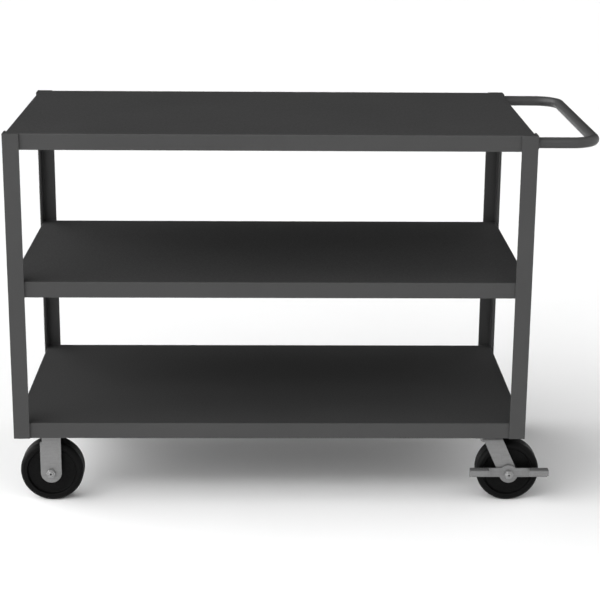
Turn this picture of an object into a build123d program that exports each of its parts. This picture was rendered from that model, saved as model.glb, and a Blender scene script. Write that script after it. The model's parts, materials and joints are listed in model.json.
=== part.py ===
from build123d import *
import math
import os

# A three-shelf welded steel utility cart on two rigid and two swivel casters, in millimetres.
# +X runs along the cart towards the push handle, +Z is up, and -Y is the long side that faces the user.
# The origin is on the floor, under the middle of the cart's overall box.

INCH = 25.4

# Overall sizes
BODY_LENGTH = 1225.5
BODY_DEPTH = 616.0
OVERALL_HEIGHT = 36 * INCH
HANDLE_REACH = 6 * INCH
SHELF_PITCH = 350.8
SHELF_NAMES = ("top_shelf", "middle_shelf", "lower_shelf")

# Corner posts: hot-rolled equal angle
ANGLE_LEG = 1.5 * INCH
ANGLE_THICK = 3 / 16 * INCH
ANGLE_ROOT_RADIUS = 4.0
ANGLE_TOE_RADIUS = 2.4
ANGLE_HEEL_RADIUS = 1.0

# Shelves: folded sheet pans with the lip turned down
SHEET = 1.9
LIP = 1.5 * INCH
PAN_CORNER_RADIUS = 6.0
PAN_BEND_RADIUS = 3.2

# Stiffening channel under each deck
HAT_WIDTH = 90.0
HAT_WEB = 52.0
HAT_DEPTH = 24.0
HAT_END_GAP = 40.0
HAT_EDGE_RADIUS = 0.9

# Push handle: bent round tube
TUBE_RADIUS = INCH / 2
TUBE_WALL = 2.1
TUBE_DROP = 0.75 * INCH
TUBE_BEND_RADIUS = 57.0

# Casters
WHEEL_RADIUS = 3 * INCH
WHEEL_WIDTH = 2 * INCH
TREAD_EDGE_RADIUS = 10.0
HUB_LENGTH = 55.6
HUB_RADIUS = 23.0
HUB_EDGE_RADIUS = 2.0
RIM_INNER_RADIUS = 60.0
RIM_EDGE_RADIUS = 1.6
WEB_HALF_WIDTH = 17.5
WEB_DRAFT = 2.0
WEB_FILLET = 3.0
WHEEL_BORE_RADIUS = 15.1
CASTER_TRACK = 492.0
PLATE_TOP = 7.5 * INCH
PLATE_LENGTH = 4.5 * INCH
PLATE_WIDTH = 4 * INCH
PLATE_THICK = 0.25 * INCH
PLATE_CORNER_RADIUS = 8.0
HOLE_SPACING_X = 92.1
HOLE_SPACING_Y = 66.7
FORK_GAP = 60.0
FORK_THICK = 0.25 * INCH
FORK_BEND_RADIUS = 9.5
RIGID_LEG_WIDTH = 50.0
RIGID_NOTCH_WIDTH = 4.5
RIGID_NOTCH_HEIGHT = 29.0
RIGID_AXLE_X = -606.15
KINGPIN_X = 451.75
CASTER_LEAD = 52.4
SWIVEL_LEG_WIDTH = 43.0
SWIVEL_LEG_SLANT = math.radians(24.5)
SWIVEL_CROWN_TOP = 168.5
SWIVEL_CROWN_RADIUS = 38.5

# Caster mounting channels under the lower deck
CHANNEL_WIDTH = 127.0
CHANNEL_THICK = 3.2
CHANNEL_BEND_RADIUS = 5.0

# Plate fasteners, 3/8 inch
BOLT_RADIUS = 3 / 16 * INCH
BOLT_HOLE_RADIUS = 5.2
BOLT_HEAD_FLATS = 14.3
BOLT_HEAD_HEIGHT = 6.2
BOLT_NUT_HEIGHT = 8.2
BOLT_TIP = 1.6
BOLT_TIP_CHAMFER = 0.8
HEX_CHAMFER = 0.07
WASHER_RADIUS = 10.5
WASHER_THICK = 1.8

# Axle set, 1/2 inch
AXLE_RADIUS = INCH / 4
AXLE_HOLE_RADIUS = 6.45
AXLE_FLATS = 0.75 * INCH
AXLE_HEAD_HEIGHT = 8.0
AXLE_NUT_HEIGHT = 8.0
AXLE_TIP = 2.2
AXLE_TIP_CHAMFER = 1.0
GREASE_HOLE_RADIUS = 2.4
GREASE_HOLE_DEPTH = 9.0
BUSHING_RADIUS = 9.5
THRUST_WASHER_RADIUS = 18.0
THRUST_WASHER_THICK = 2.0
RUNNING_FIT = 0.05
SLIP_FIT = 0.02

# Roller bearing
ROLLER_COUNT = 10
ROLLER_RADIUS = 2.75
ROLLER_LENGTH = 44.0
CAGE_INNER_RADIUS = 11.0
CAGE_OUTER_RADIUS = 13.6
CAGE_LENGTH = 52.0
CAGE_POCKET_CLEARANCE = 0.1

# Swivel head
RACE_INNER_RADIUS = 24.5
RACE_OUTER_RADIUS = 37.5
RACE_THICK = 4.6
LOAD_PITCH_RADIUS = 31.0
LOAD_BALL_RADIUS = 3.97
LOAD_BALL_COUNT = 20
SKIRT_INNER_RADIUS = 38.4
SKIRT_OUTER_RADIUS = 39.8
SKIRT_FLANGE = 2.6
SKIRT_BOTTOM = 170.5
THRUST_PITCH_RADIUS = 13.5
THRUST_BALL_RADIUS = 2.38
THRUST_BALL_COUNT = 14
THRUST_BALL_DROP = 1.45
LOWER_RACE_RADIUS = 18.5
LOWER_RACE_THICK = 4.5
LOWER_RACE_GAP = 2.85
KINGPIN_RADIUS = 7.9
KINGPIN_HEAD_RADIUS = 14.0
KINGPIN_FLATS = 23.8
KINGPIN_NUT_HEIGHT = 8.5
KINGPIN_TIP = 1.0
GROOVE_FIT = 0.04

# Side brake
CAM_RADIUS = 16.0
CAM_THICK = 2.5
PEDAL_GAP = 0.2
PEDAL_SHEET = 3.6
PEDAL_LENGTH = 190.0
PEDAL_TOP = 15.0
PEDAL_BOTTOM = -7.4
PEDAL_BOSS_RADIUS = 22.5
PAD_LENGTH = 46.0
PAD_REACH = 60.0
PAD_LIP = 13.2
PAD_BEND_RADIUS = 4.5

# Worked out from the driving sizes
OVERALL_LENGTH = BODY_LENGTH + HANDLE_REACH
END_LEFT = -OVERALL_LENGTH / 2
END_RIGHT = END_LEFT + BODY_LENGTH
FACE_Y = BODY_DEPTH / 2
DECK_TOPS = [OVERALL_HEIGHT - SHELF_PITCH * level for level in range(3)]
LOWER_DECK = DECK_TOPS[-1]
PAN_LEFT = END_LEFT + ANGLE_THICK
PAN_RIGHT = END_RIGHT - ANGLE_THICK
PAN_FACE_Y = FACE_Y - ANGLE_THICK
AXLE_Z = WHEEL_RADIUS
PLATE_BOTTOM = PLATE_TOP - PLATE_THICK
FORK_HALF = FORK_GAP / 2 + FORK_THICK
SWIVEL_CROWN_BOTTOM = SWIVEL_CROWN_TOP - FORK_THICK
LOAD_BALL_Z = (PLATE_BOTTOM + SWIVEL_CROWN_TOP) / 2
THRUST_BALL_Z = SWIVEL_CROWN_BOTTOM - THRUST_BALL_DROP
LOWER_RACE_TOP = SWIVEL_CROWN_BOTTOM - LOWER_RACE_GAP
LOWER_RACE_BOTTOM = LOWER_RACE_TOP - LOWER_RACE_THICK
BRAKE_STACK = CAM_THICK + 2 * PEDAL_GAP + PEDAL_SHEET
CASTER_SIDES = (("front", -CASTER_TRACK / 2), ("rear", CASTER_TRACK / 2))


def box_between(low, high):
    """Box between two opposite corners."""
    size = [b - a for a, b in zip(low, high)]
    middle = [(a + b) / 2 for a, b in zip(low, high)]
    return Pos(*middle) * Box(*size)


def rod_y(radius, start, end):
    """Round bar along Y, about the X-Z origin."""
    return Pos(0, (start + end) / 2, 0) * Rot(90, 0, 0) * Cylinder(radius, abs(end - start))


def ring_y(outer, inner, start, end):
    """Round tube along Y, about the X-Z origin."""
    return rod_y(outer, start, end) - rod_y(inner, start, end)


def rod_z(radius, start, end):
    """Round bar along Z, about the X-Y origin."""
    return Pos(0, 0, (start + end) / 2) * Cylinder(radius, abs(end - start))


def ring_z(outer, inner, start, end):
    """Round tube along Z, about the X-Y origin."""
    return rod_z(outer, start, end) - rod_z(inner, start, end)


def outline_y(points, start, end):
    """Closed X-Z outline of straight runs, extruded along Y."""
    wire = Polyline(*[(x, start, z) for x, z in points], close=True)
    return extrude(make_face(wire), amount=end - start, dir=(0, 1, 0))


def hex_bar(flats, height):
    """Hexagon standing on Z = 0, with its corners chamfered at both ends."""
    corner = flats / math.sqrt(3)
    turned = Pos(0, 0, height / 2) * Cylinder(corner, height)
    turned = chamfer(turned.edges().filter_by(GeomType.CIRCLE), HEX_CHAMFER * flats)
    return extrude(RegularPolygon(corner, 6), amount=height) & turned


def corner_post(x_side, y_side):
    """Angle with its heel at the cart's corner and its legs on the two outer faces."""
    x_heel = END_RIGHT if x_side > 0 else END_LEFT
    y_heel = y_side * FACE_Y

    def at(along_x, along_y):
        return (x_heel - x_side * along_x, y_heel - y_side * along_y)

    corners = [
        at(0, 0),
        at(ANGLE_LEG, 0),
        at(ANGLE_LEG, ANGLE_THICK),
        at(ANGLE_THICK, ANGLE_THICK),
        at(ANGLE_THICK, ANGLE_LEG),
        at(0, ANGLE_LEG),
    ]
    radii = [ANGLE_HEEL_RADIUS, 0, ANGLE_TOE_RADIUS, ANGLE_ROOT_RADIUS, ANGLE_TOE_RADIUS, 0]
    section = make_face(Polyline(*corners, close=True))
    for corner, radius in zip(corners, radii):
        if radius:
            vertex = section.vertices().sort_by_distance(corner)[0]
            section = fillet(vertex, radius)
    bottom = LOWER_DECK - LIP
    return Pos(0, 0, bottom) * extrude(section, amount=OVERALL_HEIGHT - bottom, dir=(0, 0, 1))


def rounded_block(low, high, corner_radius, top_radius):
    """Block with its upright corners and its top edges rounded."""
    block = box_between(low, high)
    block = fillet(block.edges().filter_by(Axis.Z), corner_radius)
    return fillet(block.faces().sort_by(Axis.Z)[-1].edges(), top_radius)


def shelf(deck_top):
    """Pan: a flat deck with its lip turned down all round."""
    low = (PAN_LEFT, -PAN_FACE_Y, deck_top - LIP)
    high = (PAN_RIGHT, PAN_FACE_Y, deck_top)
    outer = rounded_block(low, high, PAN_CORNER_RADIUS, PAN_BEND_RADIUS)
    inner_low = (PAN_LEFT + SHEET, SHEET - PAN_FACE_Y, deck_top - LIP)
    inner_high = (PAN_RIGHT - SHEET, PAN_FACE_Y - SHEET, deck_top - SHEET)
    inner = rounded_block(inner_low, inner_high, PAN_CORNER_RADIUS - SHEET, PAN_BEND_RADIUS - SHEET)
    return outer - inner


def hat_channel(deck_top, start, end):
    """Hat channel welded under a deck, along X."""
    top = deck_top - SHEET
    bottom = top - HAT_DEPTH
    flange = HAT_WIDTH / 2
    web = HAT_WEB / 2
    half = [
        (flange, top),
        (flange, top - SHEET),
        (web, top - SHEET),
        (web, bottom),
    ]
    inside = [(web - SHEET, bottom + SHEET), (web - SHEET, top)]
    right = half + [(-y, z) for y, z in reversed(half)]
    left = [(-y, z) for y, z in inside[::-1]] + inside
    wire = Polyline(*[(start, y, z) for y, z in right + left], close=True)
    hat = extrude(make_face(wire), amount=end - start, dir=(1, 0, 0))
    bends = [edge for edge in hat.edges().filter_by(Axis.X) if edge.center().Z < top - SHEET / 2]
    return fillet(bends, HAT_EDGE_RADIUS)


def plate_holes(x, y):
    """Centres of a caster plate's four bolt holes."""
    return [
        (x + i * HOLE_SPACING_X / 2, y + j * HOLE_SPACING_Y / 2)
        for i in (-1, 1)
        for j in (-1, 1)
    ]


def caster_channel(x_middle):
    """Channel across the cart under the lower deck, drilled for both casters of one end."""
    reach = PAN_FACE_Y - PAN_BEND_RADIUS
    top = LOWER_DECK - SHEET
    half = CHANNEL_WIDTH / 2
    wall = CHANNEL_THICK
    outer = box_between((x_middle - half, -reach, PLATE_TOP), (x_middle + half, reach, top))
    outer = fillet(outer.faces().sort_by(Axis.Z)[0].edges().filter_by(Axis.Y), CHANNEL_BEND_RADIUS)
    low = (x_middle - half + wall, -reach, PLATE_TOP + wall)
    inner = box_between(low, (x_middle + half - wall, reach, top))
    inner = fillet(inner.faces().sort_by(Axis.Z)[0].edges().filter_by(Axis.Y), CHANNEL_BEND_RADIUS - wall)
    channel = outer - inner
    for _, y in CASTER_SIDES:
        for hole in plate_holes(x_middle, y):
            channel -= Pos(*hole) * rod_z(BOLT_HOLE_RADIUS, PLATE_TOP, PLATE_TOP + wall)
    return channel


def push_handle():
    """Bent tube from one right-hand post to the other."""
    z = OVERALL_HEIGHT - TUBE_DROP
    y = FACE_Y - ANGLE_LEG / 2
    bar = END_RIGHT + HANDLE_REACH - TUBE_RADIUS
    route = FilletPolyline((END_RIGHT, -y, z), (bar, -y, z), (bar, y, z), (END_RIGHT, y, z),
                           radius=TUBE_BEND_RADIUS)
    start = Plane(origin=(END_RIGHT, -y, z), z_dir=(1, 0, 0))
    section = Circle(TUBE_RADIUS) - Circle(TUBE_RADIUS - TUBE_WALL)
    return sweep(start * section, path=route)


def plate_bolt():
    """Plate bolt, head up on the channel and tip below the nut."""
    seat = PLATE_TOP + CHANNEL_THICK
    tip = PLATE_BOTTOM - WASHER_THICK - BOLT_NUT_HEIGHT - BOLT_TIP
    shank = rod_z(BOLT_RADIUS, tip, seat)
    shank = chamfer(shank.faces().sort_by(Axis.Z)[0].edges(), BOLT_TIP_CHAMFER)
    return shank + Pos(0, 0, seat) * hex_bar(BOLT_HEAD_FLATS, BOLT_HEAD_HEIGHT)


def plate_washer():
    """Flat washer under the caster plate."""
    return ring_z(WASHER_RADIUS, BOLT_HOLE_RADIUS, PLATE_BOTTOM - WASHER_THICK, PLATE_BOTTOM)


def plate_nut():
    """Nut under the washer."""
    bottom = PLATE_BOTTOM - WASHER_THICK - BOLT_NUT_HEIGHT
    nut = Pos(0, 0, bottom) * hex_bar(BOLT_HEAD_FLATS, BOLT_NUT_HEIGHT)
    return nut - rod_z(BOLT_RADIUS + SLIP_FIT, bottom, bottom + BOLT_NUT_HEIGHT)


def at_plate_holes(makers):
    """Copies of the pieces at each of the cart's sixteen plate holes."""
    pieces = [make() for make in makers]
    copies = []
    for x in (RIGID_AXLE_X, KINGPIN_X):
        for _, y in CASTER_SIDES:
            for hole in plate_holes(x, y):
                copies += [Pos(*hole) * piece for piece in pieces]
    return Compound([solid for copy in copies for solid in copy.solids()])


def caster_plate():
    """Flat top plate with its four bolt holes, about the caster's upright axis."""
    plate = box_between(
        (-PLATE_LENGTH / 2, -PLATE_WIDTH / 2, PLATE_BOTTOM),
        (PLATE_LENGTH / 2, PLATE_WIDTH / 2, PLATE_TOP),
    )
    plate = fillet(plate.edges().filter_by(Axis.Z), PLATE_CORNER_RADIUS)
    for hole in plate_holes(0, 0):
        plate -= Pos(*hole) * rod_z(BOLT_HOLE_RADIUS, PLATE_BOTTOM, PLATE_TOP)
    return plate


def fork_arch(crown_top, length_low, length_high):
    """Bent strap of fork thickness, open downwards to the floor, running along X."""
    outer = box_between((length_low, -FORK_HALF, 0), (length_high, FORK_HALF, crown_top))
    outer = fillet(outer.faces().sort_by(Axis.Z)[-1].edges().filter_by(Axis.X), FORK_BEND_RADIUS)
    gap = FORK_GAP / 2
    inner = box_between((length_low, -gap, 0), (length_high, gap, crown_top - FORK_THICK))
    inner_radius = FORK_BEND_RADIUS - FORK_THICK
    inner = fillet(inner.faces().sort_by(Axis.Z)[-1].edges().filter_by(Axis.X), inner_radius)
    return outer - inner


def rigid_fork():
    """Plate with a straight U-shaped fork welded under it, its legs notched at the top of the -X edge."""
    half = RIGID_LEG_WIDTH / 2
    side = box_between((-half, -FORK_HALF, AXLE_Z), (half, FORK_HALF, PLATE_BOTTOM))
    side += Pos(0, 0, AXLE_Z) * rod_y(half, -FORK_HALF, FORK_HALF)
    side -= box_between((-half, -FORK_HALF, PLATE_BOTTOM - RIGID_NOTCH_HEIGHT),
                        (RIGID_NOTCH_WIDTH - half, FORK_HALF, PLATE_BOTTOM))
    fork = fork_arch(PLATE_BOTTOM, -half, half) & side
    fork -= Pos(0, 0, AXLE_Z) * rod_y(AXLE_HOLE_RADIUS, -FORK_HALF, FORK_HALF)
    return caster_plate() + fork


def swivel_fork():
    """Fork about the kingpin axis, with legs slanted back to the axle and the lower load race."""
    half = SWIVEL_LEG_WIDTH / 2 / math.cos(SWIVEL_LEG_SLANT)
    slope = math.tan(SWIVEL_LEG_SLANT)
    leg_top = CASTER_LEAD - slope * (SWIVEL_CROWN_TOP - AXLE_Z)
    leg_low = (CASTER_LEAD - half, AXLE_Z)
    crown_low = SWIVEL_CROWN_TOP - FORK_BEND_RADIUS
    side = outline_y(
        [leg_low, (CASTER_LEAD + half, AXLE_Z), (leg_top + half, SWIVEL_CROWN_TOP),
         (leg_top - half, SWIVEL_CROWN_TOP)],
        -FORK_HALF, FORK_HALF,
    )
    side += Pos(CASTER_LEAD, 0, AXLE_Z) * rod_y(SWIVEL_LEG_WIDTH / 2, -FORK_HALF, FORK_HALF)
    side += box_between((-SWIVEL_CROWN_RADIUS, -FORK_HALF, crown_low),
                        (leg_top + half, FORK_HALF, SWIVEL_CROWN_TOP))
    reach = CASTER_LEAD + SWIVEL_LEG_WIDTH
    flat = FORK_HALF - FORK_BEND_RADIUS
    plan = rod_z(SWIVEL_CROWN_RADIUS, 0, SWIVEL_CROWN_TOP)
    plan &= box_between((-SWIVEL_CROWN_RADIUS, -flat, 0), (SWIVEL_CROWN_RADIUS, flat, SWIVEL_CROWN_TOP))
    plan += box_between((leg_top - half, -FORK_HALF, 0), (reach, FORK_HALF, SWIVEL_CROWN_TOP))
    fork = fork_arch(SWIVEL_CROWN_TOP, -SWIVEL_CROWN_RADIUS, reach) & side & plan
    fork += ring_z(RACE_OUTER_RADIUS, RACE_INNER_RADIUS, SWIVEL_CROWN_TOP, SWIVEL_CROWN_TOP + RACE_THICK)
    fork -= ball_groove(LOAD_PITCH_RADIUS, LOAD_BALL_RADIUS, LOAD_BALL_Z)
    fork -= ball_groove(THRUST_PITCH_RADIUS, THRUST_BALL_RADIUS, THRUST_BALL_Z)
    fork -= rod_z(KINGPIN_RADIUS + RUNNING_FIT, SWIVEL_CROWN_BOTTOM, SWIVEL_CROWN_TOP)
    return fork - Pos(CASTER_LEAD, 0, AXLE_Z) * rod_y(AXLE_HOLE_RADIUS, -FORK_HALF, FORK_HALF)


def ball_groove(pitch_radius, ball_radius, z):
    """Cutter for a race that clears its ring of balls."""
    return Pos(0, 0, z) * Torus(pitch_radius, ball_radius + GROOVE_FIT)


def ball_ring(pitch_radius, ball_radius, z, count):
    """Ring of loose balls about Z."""
    return [
        Rot(0, 0, 360 * turn / count) * Pos(pitch_radius, 0, z) * Sphere(ball_radius)
        for turn in range(count)
    ]


def swivel_balls():
    """The large load balls above the crown and the small thrust balls below it."""
    balls = ball_ring(LOAD_PITCH_RADIUS, LOAD_BALL_RADIUS, LOAD_BALL_Z, LOAD_BALL_COUNT)
    balls += ball_ring(THRUST_PITCH_RADIUS, THRUST_BALL_RADIUS, THRUST_BALL_Z, THRUST_BALL_COUNT)
    return Compound([solid for ball in balls for solid in ball.solids()])


def swivel_plate():
    """Caster plate countersunk for the kingpin."""
    sink = Cone(KINGPIN_RADIUS + SLIP_FIT, KINGPIN_HEAD_RADIUS + SLIP_FIT, PLATE_THICK)
    return caster_plate() - Pos(0, 0, (PLATE_TOP + PLATE_BOTTOM) / 2) * sink


def upper_race():
    """Race under the plate, with the skirt that keeps dust off the balls."""
    race = ring_z(RACE_OUTER_RADIUS, RACE_INNER_RADIUS, PLATE_BOTTOM - RACE_THICK, PLATE_BOTTOM)
    race += ring_z(SKIRT_OUTER_RADIUS, RACE_INNER_RADIUS, PLATE_BOTTOM - SKIRT_FLANGE, PLATE_BOTTOM)
    race += ring_z(SKIRT_OUTER_RADIUS, SKIRT_INNER_RADIUS, SKIRT_BOTTOM, PLATE_BOTTOM)
    return race - ball_groove(LOAD_PITCH_RADIUS, LOAD_BALL_RADIUS, LOAD_BALL_Z)


def lower_race():
    """Race washer held up by the kingpin nut."""
    race = ring_z(LOWER_RACE_RADIUS, KINGPIN_RADIUS + SLIP_FIT, LOWER_RACE_BOTTOM, LOWER_RACE_TOP)
    return race - ball_groove(THRUST_PITCH_RADIUS, THRUST_BALL_RADIUS, THRUST_BALL_Z)


def kingpin():
    """Flush-headed pin down through the crown."""
    tip = LOWER_RACE_BOTTOM - KINGPIN_NUT_HEIGHT - KINGPIN_TIP
    shank = rod_z(KINGPIN_RADIUS, tip, PLATE_BOTTOM)
    shank = chamfer(shank.faces().sort_by(Axis.Z)[0].edges(), BOLT_TIP_CHAMFER)
    head = Cone(KINGPIN_RADIUS, KINGPIN_HEAD_RADIUS, PLATE_THICK)
    return shank + Pos(0, 0, (PLATE_TOP + PLATE_BOTTOM) / 2) * head


def kingpin_nut():
    """Nut under the lower race."""
    bottom = LOWER_RACE_BOTTOM - KINGPIN_NUT_HEIGHT
    nut = Pos(0, 0, bottom) * hex_bar(KINGPIN_FLATS, KINGPIN_NUT_HEIGHT)
    return nut - rod_z(KINGPIN_RADIUS + SLIP_FIT, bottom, LOWER_RACE_BOTTOM)


def wheel():
    """Moulded solid wheel about its own axis along Y, with a recessed web on each face."""
    edge = WHEEL_WIDTH / 2
    hub = HUB_LENGTH / 2
    flank = [
        (WHEEL_BORE_RADIUS, hub),
        (HUB_RADIUS, hub),
        (HUB_RADIUS + WEB_DRAFT, WEB_HALF_WIDTH),
        (RIM_INNER_RADIUS - WEB_DRAFT, WEB_HALF_WIDTH),
        (RIM_INNER_RADIUS, edge),
        (WHEEL_RADIUS, edge),
    ]
    radii = [0, HUB_EDGE_RADIUS, WEB_FILLET, WEB_FILLET, RIM_EDGE_RADIUS, TREAD_EDGE_RADIUS]
    outline = flank + [(r, -a) for r, a in reversed(flank)]
    section = make_face(Polyline(*[(r, 0, a) for r, a in outline], close=True))
    for (r, a), radius in zip(outline, radii + radii[::-1]):
        if radius:
            section = fillet(section.vertices().sort_by_distance((r, 0, a))[0], radius)
    return Rot(90, 0, 0) * revolve(section, Axis.Z)


def roller_bearing():
    """Rollers in their cage, about an axis along Y."""
    pitch = (BUSHING_RADIUS + RUNNING_FIT + WHEEL_BORE_RADIUS - SLIP_FIT) / 2
    cage = ring_y(CAGE_OUTER_RADIUS, CAGE_INNER_RADIUS, -CAGE_LENGTH / 2, CAGE_LENGTH / 2)
    rollers = []
    for turn in range(ROLLER_COUNT):
        place = Rot(0, 360 * turn / ROLLER_COUNT, 0) * Pos(pitch, 0, 0)
        pocket = ROLLER_LENGTH / 2 + CAGE_POCKET_CLEARANCE
        cage -= place * rod_y(ROLLER_RADIUS + CAGE_POCKET_CLEARANCE, -pocket, pocket)
        rollers.append(place * rod_y(ROLLER_RADIUS, -ROLLER_LENGTH / 2, ROLLER_LENGTH / 2))
    return Compound([solid for piece in [cage] + rollers for solid in piece.solids()])


def bushing():
    """Spanner bushing clamped between the fork legs."""
    return ring_y(BUSHING_RADIUS, AXLE_HOLE_RADIUS, -FORK_GAP / 2, FORK_GAP / 2)


def thrust_washers():
    """Washer between each fork leg and the hub."""
    inner = BUSHING_RADIUS + RUNNING_FIT
    leg = FORK_GAP / 2
    pair = [
        ring_y(THRUST_WASHER_RADIUS, inner, side * leg, side * (leg - THRUST_WASHER_THICK))
        for side in (-1, 1)
    ]
    return Compound([solid for washer in pair for solid in washer.solids()])


def axle_bolt(stack):
    """Hex bolt through both legs, its tip past the nut on the -Y side; stack lies between leg and nut."""
    tip = -(FORK_HALF + stack + AXLE_NUT_HEIGHT + AXLE_TIP)
    shank = rod_y(AXLE_RADIUS, tip, FORK_HALF)
    shank = chamfer(shank.faces().sort_by(Axis.Y)[0].edges(), AXLE_TIP_CHAMFER)
    shank -= rod_y(GREASE_HOLE_RADIUS, tip, tip + GREASE_HOLE_DEPTH)
    return shank + Pos(0, FORK_HALF, 0) * Rot(-90, 0, 0) * hex_bar(AXLE_FLATS, AXLE_HEAD_HEIGHT)


def axle_nut(stack):
    """Nut on the -Y side of the leg."""
    seat = -(FORK_HALF + stack)
    nut = Pos(0, seat, 0) * Rot(90, 0, 0) * hex_bar(AXLE_FLATS, AXLE_NUT_HEIGHT)
    return nut - rod_y(AXLE_RADIUS + SLIP_FIT, seat - AXLE_NUT_HEIGHT, seat)


def brake_cam():
    """Fixed cam washer on the outer face of the -Y leg."""
    return ring_y(CAM_RADIUS, AXLE_HOLE_RADIUS, -FORK_HALF - CAM_THICK, -FORK_HALF)


def brake_pedal():
    """See-saw pedal about the axle: a web plate with a boss, and a folded tread pad at each end."""
    web_in = -(FORK_HALF + CAM_THICK + PEDAL_GAP)
    web_out = web_in - PEDAL_SHEET
    half = PEDAL_LENGTH / 2
    pedal = box_between((-half, web_out, PEDAL_BOTTOM), (half, web_in, PEDAL_TOP))
    pedal += rod_y(PEDAL_BOSS_RADIUS, web_out, web_in)
    section = [
        (web_in, PEDAL_BOTTOM),
        (web_in, PEDAL_TOP),
        (-PAD_REACH, PEDAL_TOP),
        (-PAD_REACH, PEDAL_TOP - PAD_LIP),
        (PEDAL_SHEET - PAD_REACH, PEDAL_TOP - PAD_LIP),
        (PEDAL_SHEET - PAD_REACH, PEDAL_TOP - PEDAL_SHEET),
        (web_out, PEDAL_TOP - PEDAL_SHEET),
        (web_out, PEDAL_BOTTOM),
    ]
    for start in (-half, half - PAD_LENGTH):
        wire = Polyline(*[(start, y, z) for y, z in section], close=True)
        pad = extrude(make_face(wire), amount=PAD_LENGTH, dir=(1, 0, 0))
        bends = [edge for edge in pad.edges().filter_by(Axis.X) if edge.center().Z > PEDAL_TOP - 0.1]
        pad = fillet([edge for edge in bends if edge.center().Y < web_in - 1], PAD_BEND_RADIUS)
        pedal += pad
    return pedal - rod_y(AXLE_RADIUS + RUNNING_FIT, web_out, web_in)


def axle_set(stack):
    """The pieces on one axle, each about the axle's own centre."""
    return {
        "axle_bolt": axle_bolt(stack),
        "axle_nut": axle_nut(stack),
        "axle_bushing": bushing(),
        "thrust_washers": thrust_washers(),
        "wheel": wheel(),
        "roller_bearing": roller_bearing(),
    }


def structure():
    """Everything welded or bolted into the cart's frame, apart from the casters."""
    nodes = {}
    for x_name, x_side in (("left", -1), ("right", 1)):
        for y_name, y_side in (("front", -1), ("rear", 1)):
            nodes[f"corner_post_{y_name}_{x_name}"] = corner_post(x_side, y_side)
    for name, deck_top in zip(SHELF_NAMES, DECK_TOPS):
        nodes[name] = shelf(deck_top)
        start = PAN_LEFT + HAT_END_GAP
        end = PAN_RIGHT - HAT_END_GAP
        if deck_top == LOWER_DECK:
            start = RIGID_AXLE_X + CHANNEL_WIDTH / 2
            end = KINGPIN_X - CHANNEL_WIDTH / 2
        nodes[f"{name}_stiffener"] = hat_channel(deck_top, start, end)
    nodes["rigid_caster_channel"] = caster_channel(RIGID_AXLE_X)
    nodes["swivel_caster_channel"] = caster_channel(KINGPIN_X)
    nodes["push_handle"] = push_handle()
    nodes["caster_plate_bolts"] = at_plate_holes([plate_bolt])
    nodes["caster_plate_nuts"] = at_plate_holes([plate_washer, plate_nut])
    return nodes


def rigid_casters():
    """The two fixed casters at the end away from the handle."""
    nodes = {}
    pieces = axle_set(0.0)
    fork = rigid_fork()
    for side, y in CASTER_SIDES:
        nodes[f"rigid_{side}_fork"] = Pos(RIGID_AXLE_X, y, 0) * fork
        for name, piece in pieces.items():
            nodes[f"rigid_{side}_{name}"] = Pos(RIGID_AXLE_X, y, AXLE_Z) * piece
    return nodes


def swivel_casters():
    """The two swivel casters at the handle end, trailing towards the handle."""
    nodes = {}
    on_axle = axle_set(BRAKE_STACK)
    on_axle["brake_cam"] = brake_cam()
    on_axle["brake_pedal"] = brake_pedal()
    on_kingpin = {
        "plate": swivel_plate(),
        "kingpin": kingpin(),
        "kingpin_nut": kingpin_nut(),
        "upper_race": upper_race(),
        "lower_race": lower_race(),
        "balls": swivel_balls(),
        "fork": swivel_fork(),
    }
    for side, y in CASTER_SIDES:
        for name, piece in on_kingpin.items():
            nodes[f"swivel_{side}_{name}"] = Pos(KINGPIN_X, y, 0) * piece
        for name, piece in on_axle.items():
            nodes[f"swivel_{side}_{name}"] = Pos(KINGPIN_X + CASTER_LEAD, y, AXLE_Z) * piece
    return nodes


def main():
    """Write each node to its own STEP file."""
    os.makedirs("parts", exist_ok=True)
    for nodes in (structure(), rigid_casters(), swivel_casters()):
        for name, shape in nodes.items():
            export_step(shape, f"parts/{name}.step")


main()
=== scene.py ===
import bpy
import json
import math
import random
from mathutils import Matrix, Vector


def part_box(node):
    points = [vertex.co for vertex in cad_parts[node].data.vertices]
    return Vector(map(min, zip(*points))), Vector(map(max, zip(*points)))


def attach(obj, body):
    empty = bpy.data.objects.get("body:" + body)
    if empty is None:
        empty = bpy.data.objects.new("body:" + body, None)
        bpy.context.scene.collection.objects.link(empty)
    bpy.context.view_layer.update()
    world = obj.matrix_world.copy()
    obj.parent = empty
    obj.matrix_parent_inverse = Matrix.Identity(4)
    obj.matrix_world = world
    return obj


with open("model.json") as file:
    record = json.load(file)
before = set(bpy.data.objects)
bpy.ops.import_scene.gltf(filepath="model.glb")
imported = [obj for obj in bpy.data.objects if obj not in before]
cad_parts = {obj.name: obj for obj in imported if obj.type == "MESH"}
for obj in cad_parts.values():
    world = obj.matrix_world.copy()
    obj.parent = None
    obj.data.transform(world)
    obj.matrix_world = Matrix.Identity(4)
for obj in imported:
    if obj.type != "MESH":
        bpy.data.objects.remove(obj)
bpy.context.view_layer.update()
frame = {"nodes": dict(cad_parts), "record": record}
RNG = random.Random(40)

# ---------------------------------------------------------------- node helpers


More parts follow.
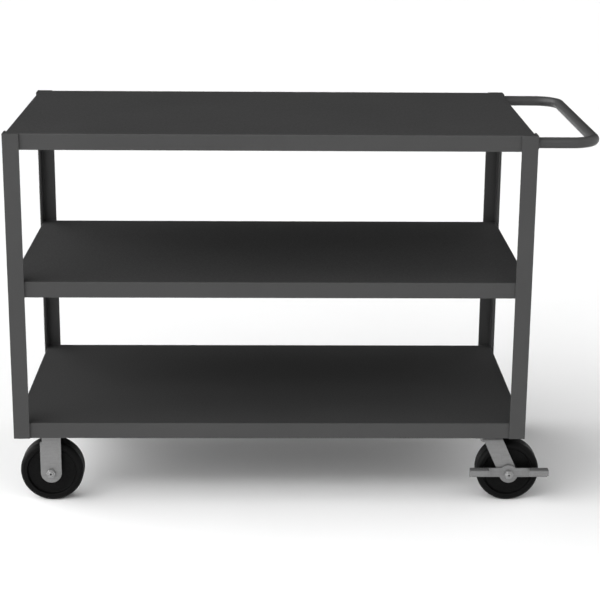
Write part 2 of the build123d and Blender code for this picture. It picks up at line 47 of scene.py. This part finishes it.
class Nodes:
    """A node tree, built one named step at a time."""

    def __init__(self, tree):
        self.tree = tree

    def node(self, kind, inputs=None, **settings):
        """A node with its settings and its inputs, each a value or another node's output."""
        made = self.tree.nodes.new(kind)
        for key, value in settings.items():
            setattr(made, key, value)
        for key, value in (inputs or {}).items():
            self.feed(made.inputs[key], value)
        return made

    def feed(self, socket, value):
        if isinstance(value, bpy.types.NodeSocket):
            self.tree.links.new(value, socket)
        else:
            socket.default_value = value

    def math(self, operation, first, second=0.0):
        return self.node("ShaderNodeMath", {0: first, 1: second}, operation=operation).outputs[0]

    def remap(self, value, low, high, to_low, to_high):
        made = self.node("ShaderNodeMapRange", {0: value, 1: low, 2: high, 3: to_low, 4: to_high})
        return made.outputs[0]


class Shader(Nodes):
    """A material's nodes round its Principled shader."""

    def __init__(self, name):
        self.material = bpy.data.materials.new(name)
        self.material.use_nodes = True
        super().__init__(self.material.node_tree)
        self.shader = self.tree.nodes["Principled BSDF"]
        self.coords = self.tree.nodes.new("ShaderNodeTexCoord").outputs["Object"]

    def noise(self, scale, detail=2.0, roughness=0.5, vector=None):
        made = self.node("ShaderNodeTexNoise", {
            "Vector": vector or self.coords, "Scale": scale, "Detail": detail, "Roughness": roughness,
        })
        return made.outputs["Fac"]

    def cells(self, scale):
        """A random value for each Voronoi cell."""
        made = self.node("ShaderNodeTexVoronoi", {"Vector": self.coords, "Scale": scale}, feature="F1")
        return self.node("ShaderNodeSeparateColor", {"Color": made.outputs["Color"]}).outputs[0]

    def stretched(self, factors):
        return self.node("ShaderNodeMapping", {"Vector": self.coords, "Scale": factors}).outputs["Vector"]

    def mix(self, factor, first, second):
        made = self.node("ShaderNodeMix", {"Factor": factor}, data_type="RGBA")
        self.feed(made.inputs[6], first)
        self.feed(made.inputs[7], second)
        return made.outputs[2]

    def bump(self, height, distance, normal=None):
        made = self.node("ShaderNodeBump", {"Height": height, "Distance": distance, "Strength": 1.0})
        if normal is not None:
            self.feed(made.inputs["Normal"], normal)
        return made.outputs["Normal"]

    def edge_mask(self, radius):
        """0 on flats and 1 on sharp outer or inner edges, and the rounded normal used to find them."""
        rounded = self.node("ShaderNodeBevel", {"Radius": radius}, samples=4).outputs["Normal"]
        true = self.node("ShaderNodeNewGeometry").outputs["Normal"]
        agree = self.node("ShaderNodeVectorMath", {0: rounded, 1: true}, operation="DOT_PRODUCT")
        return self.remap(agree.outputs["Value"], 0.995, 0.85, 0.0, 1.0), rounded

    def finish(self, **inputs):
        for key, value in inputs.items():
            self.feed(self.shader.inputs[key.replace("_", " ")], value)
        return self.material


def grey(level):
    """A neutral colour."""
    return (level, level, level, 1.0)


# ---------------------------------------------------------------- materials

PAINT = 0.039
ZINC = 0.20
FASTENER = 0.25
STEEL = 0.30
PHENOLIC = 0.0032
DUST_FROM = 0.0735
DUST_TO = 0.0758
RING_PITCH = 0.0011


def powder_coat():
    """Satin grey powder coat: orange peel, faint mottling, and a painted highlight that lightens the edges in
    broken patches where light catches the rounded bends.
    """
    s = Shader("powder_coat")
    on_edges, rounded = s.edge_mask(0.0012)
    cloud = s.noise(5.0, 3.0)
    fleck = s.noise(240.0, 2.0)
    tone = s.math("ADD", s.remap(cloud, 0.3, 0.7, -0.05, 0.05), s.remap(fleck, 0.3, 0.7, -0.04, 0.04))
    base = s.mix(s.math("ADD", tone, 0.5), grey(PAINT * 0.55), grey(PAINT * 1.45))
    # Painted highlight: the edge mask, broken into patches, lightens the paint on edges to stand in for light
    # caught on the rounded bends.
    painted_edge_highlight = s.math("MULTIPLY", on_edges, s.remap(s.noise(60.0, 3.0), 0.42, 0.62, 0.15, 0.9))
    colour = s.mix(s.math("MULTIPLY", painted_edge_highlight, 0.35), base, grey(PAINT * 2.2))
    peel = s.bump(s.noise(420.0, 1.0), 0.00009, normal=rounded)
    grain = s.bump(s.noise(2600.0, 1.0), 0.00002, normal=peel)
    rough = s.math("ADD", s.remap(fleck, 0.3, 0.7, 0.40, 0.50), s.math("MULTIPLY", on_edges, -0.06))
    return s.finish(Base_Color=colour, Roughness=rough, Normal=grain, Specular_IOR_Level=0.34)


def zinc_plate(name, level, rough, spangle):
    """Dull zinc plating: fine crystal cells, rolling streaks, dark handling marks and bright worn edges."""
    s = Shader(name)
    on_edges, rounded = s.edge_mask(0.0010)
    cell = s.cells(spangle)
    streak = s.noise(30.0, 4.0, vector=s.stretched((1.0, 1.0, 9.0)))
    stain = s.noise(26.0, 4.0, 0.6)
    tone = s.math("ADD", s.remap(cell, 0.0, 1.0, -0.10, 0.10), s.remap(streak, 0.3, 0.7, -0.07, 0.07))
    base = s.mix(s.math("ADD", tone, 0.5), grey(level * 0.6), grey(level * 1.4))
    dulled = s.mix(s.remap(stain, 0.58, 0.78, 0.0, 0.35), base, grey(level * 0.55))
    colour = s.mix(s.math("MULTIPLY", on_edges, 0.5), dulled, grey(min(1.0, level * 1.9)))
    fine = s.bump(s.noise(1500.0, 2.0), 0.00002, normal=rounded)
    worn = s.bump(streak, 0.00012, normal=fine)
    cell_rough = s.remap(cell, 0.0, 1.0, rough - 0.06, rough + 0.06)
    gloss = s.math("ADD", cell_rough, s.math("MULTIPLY", on_edges, -0.10))
    return s.finish(Base_Color=colour, Roughness=gloss, Normal=worn, Metallic=0.55)


def ground_steel():
    """Bearing steel with fine turned lines round the axles."""
    s = Shader("ground_steel")
    lines = s.noise(90.0, 3.0, vector=s.stretched((1.0, 40.0, 1.0)))
    film = s.noise(140.0, 3.0)
    colour = s.mix(s.remap(lines, 0.3, 0.7, 0.0, 1.0), grey(STEEL * 0.8), grey(STEEL * 1.15))
    oiled = s.mix(s.remap(film, 0.55, 0.75, 0.0, 0.5), colour, grey(STEEL * 0.45))
    rough = s.remap(film, 0.3, 0.7, 0.24, 0.38)
    return s.finish(Base_Color=oiled, Roughness=rough, Normal=s.bump(lines, 0.00004), Metallic=0.9)


def phenolic(name, centre):
    """Moulded phenolic wheel: mottled macerated filler, turned rings about its axle and a dusty tread."""
    s = Shader(name)
    on_edges, rounded = s.edge_mask(0.0010)
    place = s.node("ShaderNodeVectorMath", {0: s.coords, 1: tuple(-c for c in centre)}, operation="ADD")
    flat = s.node("ShaderNodeVectorMath", {0: place.outputs[0], 1: (1.0, 0.0, 1.0)}, operation="MULTIPLY")
    radius = s.node("ShaderNodeVectorMath", {0: flat.outputs[0]}, operation="LENGTH").outputs["Value"]
    chip = s.cells(260.0)
    cloud = s.noise(70.0, 4.0, 0.6)
    tone = s.math("ADD", s.remap(chip, 0.0, 1.0, -0.22, 0.22), s.remap(cloud, 0.3, 0.7, -0.15, 0.15))
    base = s.mix(s.math("ADD", tone, 0.5), grey(PHENOLIC * 0.5), grey(PHENOLIC * 1.6))
    tread = s.remap(radius, DUST_FROM, DUST_TO, 0.0, 1.0)
    dust = s.math("MULTIPLY", tread, s.remap(s.noise(180.0, 4.0), 0.35, 0.7, 0.1, 0.6))
    colour = s.mix(dust, base, grey(PHENOLIC * 3.4))
    edged = s.mix(s.math("MULTIPLY", on_edges, 0.35), colour, grey(PHENOLIC * 4.0))
    rings = s.math("SINE", s.math("MULTIPLY", radius, 2.0 * math.pi / RING_PITCH))
    turned = s.bump(rings, 0.000012, normal=rounded)
    rough_cast = s.bump(s.noise(900.0, 3.0), 0.00005, normal=turned)
    rough = s.math("ADD", s.remap(cloud, 0.3, 0.7, 0.34, 0.46), s.math("MULTIPLY", dust, 0.3))
    return s.finish(Base_Color=edged, Roughness=rough, Normal=rough_cast, Specular_IOR_Level=0.07)


MATERIALS = {
    "frame_paint": powder_coat(),
    "caster_zinc": zinc_plate("caster_zinc", ZINC, 0.46, 620.0),
    "pedal_zinc": zinc_plate("pedal_zinc", ZINC * 0.97, 0.44, 520.0),
    "fastener_zinc": zinc_plate("fastener_zinc", FASTENER, 0.36, 900.0),
    "bearing_steel": ground_steel(),
}


def dress_cad_nodes():
    """Give every CAD node the material of its slot; each wheel's rings are turned about its own axle."""
    for part in frame["record"]["subparts"]:
        node = frame["nodes"][part["node"]]
        slot = part["material_slot"]
        if slot == "wheel_phenolic":
            low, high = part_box(part["node"])
            material = phenolic("phenolic_" + part["node"], (low + high) / 2)
        else:
            material = MATERIALS[slot]
        node.data.materials.clear()
        node.data.materials.append(material)


# ---------------------------------------------------------------- added pieces

MM = 0.001
TUBE_SIDES = 10
STITCH = 32.0 * MM
STIFFENER_PITCH = 180.0 * MM
CHANNEL_PITCH = 110.0 * MM
CORNER_OFF = 1.0 * MM
CORNER_START = 6.0 * MM
CORNER_END = 33.0 * MM
CORNER_BEAD = 1.9 * MM
CHANNEL_BEAD = 1.9 * MM
STIFFENER_BEAD = 1.7 * MM
HANDLE_BEAD = 2.3 * MM
RIPPLE_STEP = 0.9 * MM
AXLE_RADIUS = 6.35 * MM
THREAD_PITCH = 1.2 * MM
PAD_TOP = 15.0 * MM
RIB_COUNT = 6
RIB_FIRST = 55.0 * MM
RIB_PITCH = 7.0 * MM
RIB_RADIUS = 1.0 * MM
RIB_TAPER = (0.3, 0.8, 1.0, 1.0, 1.0, 1.0, 0.8, 0.3)


def mesh_piece(name, verts, faces, slot, body):
    """A mesh object in the row frame that rides on a body and takes its finish from a slot."""
    mesh = bpy.data.meshes.new(name)
    mesh.from_pydata([tuple(v) for v in verts], [], faces)
    mesh.validate()
    mesh.polygons.foreach_set("use_smooth", [True] * len(mesh.polygons))
    mesh.materials.append(MATERIALS[slot])
    piece = bpy.data.objects.new(name, mesh)
    bpy.context.scene.collection.objects.link(piece)
    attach(piece, body)
    return piece


def tube_rings(points, radii, closed):
    """Vertices and faces of a tube through the points, with one radius per point and capped if open."""
    count = len(points)
    sides = TUBE_SIDES
    verts = []
    for i, point in enumerate(points):
        before = points[i - 1] if (i or closed) else point
        after = points[(i + 1) % count] if (i + 1 < count or closed) else point
        along = (after - before).normalized()
        across = along.cross(Vector((0.0, 0.0, 1.0)) if abs(along.z) < 0.9 else Vector((0.0, 1.0, 0.0)))
        across.normalize()
        up = across.cross(along)
        for k in range(sides):
            turn = 2.0 * math.pi * k / sides
            verts.append(point + (across * math.cos(turn) + up * math.sin(turn)) * radii[i])
    faces = []
    for i in range(count if closed else count - 1):
        j = (i + 1) % count
        for k in range(sides):
            m = (k + 1) % sides
            faces.append((i * sides + k, i * sides + m, j * sides + m, j * sides + k))
    if not closed:
        faces.append(tuple(range(sides - 1, -1, -1)))
        faces.append(tuple((count - 1) * sides + k for k in range(sides)))
    return verts, faces


def weld_ripples(count, radius):
    """Radii along a bead: overlapping puddles with a little hand-laid unevenness."""
    return [radius * (0.88 + 0.16 * abs(math.sin(math.pi * i / 4)) + RNG.uniform(-0.05, 0.05))
            for i in range(count)]


def weld_beads(name, runs, radius):
    """One piece of several straight weld beads, each run a (start, end) pair."""
    verts, faces = [], []
    for start, end in runs:
        length = (end - start).length
        count = max(6, round(length / RIPPLE_STEP))
        points = [start.lerp(end, i / (count - 1)) for i in range(count)]
        radii = weld_ripples(count, radius)
        for i, taper in ((0, 0.35), (1, 0.7), (-2, 0.7), (-1, 0.35)):
            radii[i] *= taper
        more, loops = tube_rings(points, radii, closed=False)
        faces += [tuple(v + len(verts) for v in loop) for loop in loops]
        verts += more
    return mesh_piece(name, verts, faces, "frame_paint", "frame")


def handle_welds():
    """A bead round each end of the push handle, where it meets the post."""
    low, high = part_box("push_handle")
    tube_radius = (high.z - low.z) / 2
    centre_z = (low.z + high.z) / 2
    for side, y in (("front", low.y + tube_radius), ("rear", high.y - tube_radius)):
        count = 84
        ring = tube_radius + 0.8 * MM
        points = []
        for i in range(count):
            turn = 2.0 * math.pi * i / count
            across, up = ring * math.cos(turn), ring * math.sin(turn)
            points.append(Vector((low.x + 1.1 * MM, y + across, centre_z + up)))
        verts, faces = tube_rings(points, weld_ripples(count, HANDLE_BEAD), closed=True)
        mesh_piece(f"handle_weld_{side}", verts, faces, "frame_paint", "frame")


def stitches(node, along, pitch):
    """Runs of a stitch weld where a node's two long edges meet the deck (along 0 for X, 1 for Y)."""
    low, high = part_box(node)
    across = 1 - along
    count = int((high[along] - low[along]) / pitch)
    first = (low[along] + high[along] - pitch * (count - 1)) / 2
    runs = []
    for i in range(count):
        for edge in (low[across], high[across]):
            ends = []
            for shift in (-STITCH / 2, STITCH / 2):
                end = Vector((0.0, 0.0, high.z - 0.9 * MM))
                end[along] = first + i * pitch + shift
                end[across] = edge
                ends.append(end)
            runs.append(tuple(ends))
    return runs


def channel_welds():
    """Stitches where the flanges of the two caster channels meet the lower deck."""
    for kind in ("rigid", "swivel"):
        node = f"{kind}_caster_channel"
        weld_beads(f"{node}_welds", stitches(node, 1, CHANNEL_PITCH), CHANNEL_BEAD)


def corner_runs(shelf):
    """Fillets along both edges of each corner of a deck, at the levels where the posts reach past it."""
    low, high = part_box(shelf)
    places = []
    if shelf != "lower_shelf":
        places.append(low.z - 0.6 * MM)
    if shelf != "top_shelf":
        places.append(high.z + 0.4 * MM)
    runs = []
    for x, x_in in ((low.x, 1.0), (high.x, -1.0)):
        for y, y_in in ((low.y, 1.0), (high.y, -1.0)):
            near_x, near_y = x + x_in * CORNER_OFF, y + y_in * CORNER_OFF
            from_x, to_x = x + x_in * CORNER_START, x + x_in * CORNER_END
            from_y, to_y = y + y_in * CORNER_START, y + y_in * CORNER_END
            for z in places:
                runs.append((Vector((near_x, from_y, z)), Vector((near_x, to_y, z))))
                runs.append((Vector((from_x, near_y, z)), Vector((to_x, near_y, z))))
    return runs


def shelf_welds():
    """Short fillets where each deck meets the inside of the posts, and stitches along the stiffeners."""
    for shelf in ("top_shelf", "middle_shelf", "lower_shelf"):
        weld_beads(f"{shelf}_corner_welds", corner_runs(shelf), CORNER_BEAD)
        stiffener_runs = stitches(f"{shelf}_stiffener", 0, STIFFENER_PITCH)
        weld_beads(f"{shelf}_stiffener_welds", stiffener_runs, STIFFENER_BEAD)


def helix_thread(name, start, end, centre, radius, pitch, body):
    """A V-thread ridge wound on a bolt tip, from start to end along Y, about an (x, z) centre."""
    steps = 28
    turns = abs(end - start) / pitch
    count = round(turns * steps)
    half = pitch * 0.42
    ridge = 0.45 * MM
    root = -0.25 * MM
    verts, faces = [], []
    sign = 1.0 if end > start else -1.0
    for i in range(count + 1):
        turn = 2.0 * math.pi * i / steps
        along = start + sign * pitch * i / steps
        fade = min(1.0, i / steps, (count - i) / steps)
        for offset, height in ((-half, root), (0.0, ridge * fade), (half, root)):
            r = radius + height
            verts.append((centre[0] + r * math.cos(turn), along + offset, centre[1] + r * math.sin(turn)))
    for i in range(count):
        for k in range(3):
            m = (k + 1) % 3
            faces.append((i * 3 + k, i * 3 + m, i * 3 + 3 + m, i * 3 + 3 + k))
    faces.append((2, 1, 0))
    faces.append((count * 3, count * 3 + 1, count * 3 + 2))
    return mesh_piece(name, verts, faces, "fastener_zinc", body)


def axle_threads():
    """Thread on the part of each axle bolt that stands out of its nut."""
    for kind in ("rigid", "swivel"):
        for side in ("front", "rear"):
            bolt_low, bolt_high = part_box(f"{kind}_{side}_axle_bolt")
            nut_low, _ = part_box(f"{kind}_{side}_axle_nut")
            centre = ((bolt_low.x + bolt_high.x) / 2, (bolt_low.z + bolt_high.z) / 2)
            body = "frame" if kind == "rigid" else f"swivel_{side}_head"
            helix_thread(f"{kind}_{side}_axle_thread", nut_low.y, bolt_low.y + 1.0 * MM, centre,
                         AXLE_RADIUS, THREAD_PITCH, body)


def pad_ribs():
    """Raised anti-slip ribs across the tread pads of each brake pedal."""
    for side in ("front", "rear"):
        low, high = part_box(f"swivel_{side}_brake_pedal")
        centre_x = (low.x + high.x) / 2
        centre_z = (low.z + high.z) / 2
        pad_top = centre_z + PAD_TOP
        verts, faces = [], []
        for end in (-1.0, 1.0):
            for i in range(RIB_COUNT):
                x = centre_x + end * (RIB_FIRST + RIB_PITCH * i)
                start = Vector((x, low.y + 5.0 * MM, pad_top - 0.3 * MM))
                stop = Vector((x, high.y - 3.5 * MM, pad_top - 0.3 * MM))
                steps = len(RIB_TAPER) - 1
                points = [start.lerp(stop, k / steps) for k in range(steps + 1)]
                radii = [RIB_RADIUS * share for share in RIB_TAPER]
                more, loops = tube_rings(points, radii, closed=False)
                faces += [tuple(v + len(verts) for v in loop) for loop in loops]
                verts += more
        mesh_piece(f"swivel_{side}_pad_ribs", verts, faces, "pedal_zinc", f"swivel_{side}_pedal_body")


# ---------------------------------------------------------------- stage, light and camera

FLOOR_RADIUS = 60.0
KEY_POWER = 20.0
LEFT_GLOW = 4.6
RIGHT_GLOW = 1.35
CAMERA_PLACE = (-0.0845, -4.0, 1.6142)
CAMERA_PITCH = math.radians(15.53)
CAMERA_YAW = math.radians(1.19)
CAMERA_ROLL = math.radians(0.47)
CAMERA_LENS = 98.6
CAMERA_SHIFT = -0.045


def floor():
    """A large plain pale floor."""
    sides = 96
    turns = [2 * math.pi * k / sides for k in range(sides)]
    ring = [(FLOOR_RADIUS * math.cos(turn), FLOOR_RADIUS * math.sin(turn), 0.0) for turn in turns]
    mesh = bpy.data.meshes.new("floor")
    mesh.from_pydata(ring, [], [tuple(range(sides))])
    s = Shader("pale_floor")
    tone = s.remap(s.noise(1.5, 3.0), 0.3, 0.7, 0.0, 1.0)
    colour = s.mix(tone, grey(0.93), grey(0.95))
    mesh.materials.append(s.finish(Base_Color=colour, Roughness=0.9))
    plane = bpy.data.objects.new("floor", mesh)
    bpy.context.scene.collection.objects.link(plane)


def softbox(name, place, aim, size, power):
    """A rectangular studio light facing a point."""
    data = bpy.data.lights.new(name, "AREA")
    data.shape = "RECTANGLE"
    data.size, data.size_y = size
    data.energy = power
    lamp = bpy.data.objects.new(name, data)
    lamp.location = place
    lamp.rotation_euler = (Vector(aim) - Vector(place)).to_track_quat("-Z", "Y").to_euler()
    bpy.context.scene.collection.objects.link(lamp)


def glow(nodes, ray, direction, strength):
    """World light from one side: full along the direction and gone about 70 degrees from it."""
    toward = Vector(direction).normalized()
    facing = nodes.node("ShaderNodeVectorMath", {0: ray, 1: toward}, operation="DOT_PRODUCT").outputs["Value"]
    return nodes.remap(facing, 0.3, 1.0, 0.0, strength)


def lights():
    """A wide glow from the left end, a weaker one from the right, and a soft key above the front.

    Where the camera sees the world directly, it is at least plain white.
    """
    softbox("key", (-0.1, -2.2, 2.3), (0.0, 0.1, 0.35), (3.2, 0.8), KEY_POWER)
    world = bpy.data.worlds.new("studio")
    world.use_nodes = True
    nodes = Nodes(world.node_tree)
    ray = nodes.node("ShaderNodeTexCoord").outputs["Generated"]
    left = glow(nodes, ray, (-1.0, -0.2, 0.2), LEFT_GLOW)
    right = glow(nodes, ray, (1.0, -0.2, 0.2), RIGHT_GLOW)
    seen = nodes.node("ShaderNodeLightPath").outputs["Is Camera Ray"]
    backdrop = world.node_tree.nodes["Background"]
    backdrop.inputs["Color"].default_value = grey(1.0)
    both = nodes.math("ADD", left, right)
    nodes.feed(backdrop.inputs["Strength"], nodes.math("MAXIMUM", both, seen))
    bpy.context.scene.world = world


def camera():
    """In front of the long side, a little left of centre and looking down."""
    data = bpy.data.cameras.new("camera")
    data.sensor_width = 36.0
    data.lens = CAMERA_LENS
    data.shift_y = CAMERA_SHIFT
    data.clip_end = 200.0
    cam = bpy.data.objects.new("camera", data)
    cam.location = CAMERA_PLACE
    turned = Matrix.Rotation(-CAMERA_YAW, 4, "Z") @ Matrix.Rotation(math.pi / 2 - CAMERA_PITCH, 4, "X")
    cam.rotation_euler = (turned @ Matrix.Rotation(CAMERA_ROLL, 4, "Z")).to_euler()
    bpy.context.scene.collection.objects.link(cam)
    bpy.context.scene.camera = cam
    bpy.context.scene.view_settings.view_transform = "Standard"


# ---------------------------------------------------------------- build

camera()
dress_cad_nodes()
handle_welds()
shelf_welds()
channel_welds()
axle_threads()
pad_ribs()
floor()
lights()
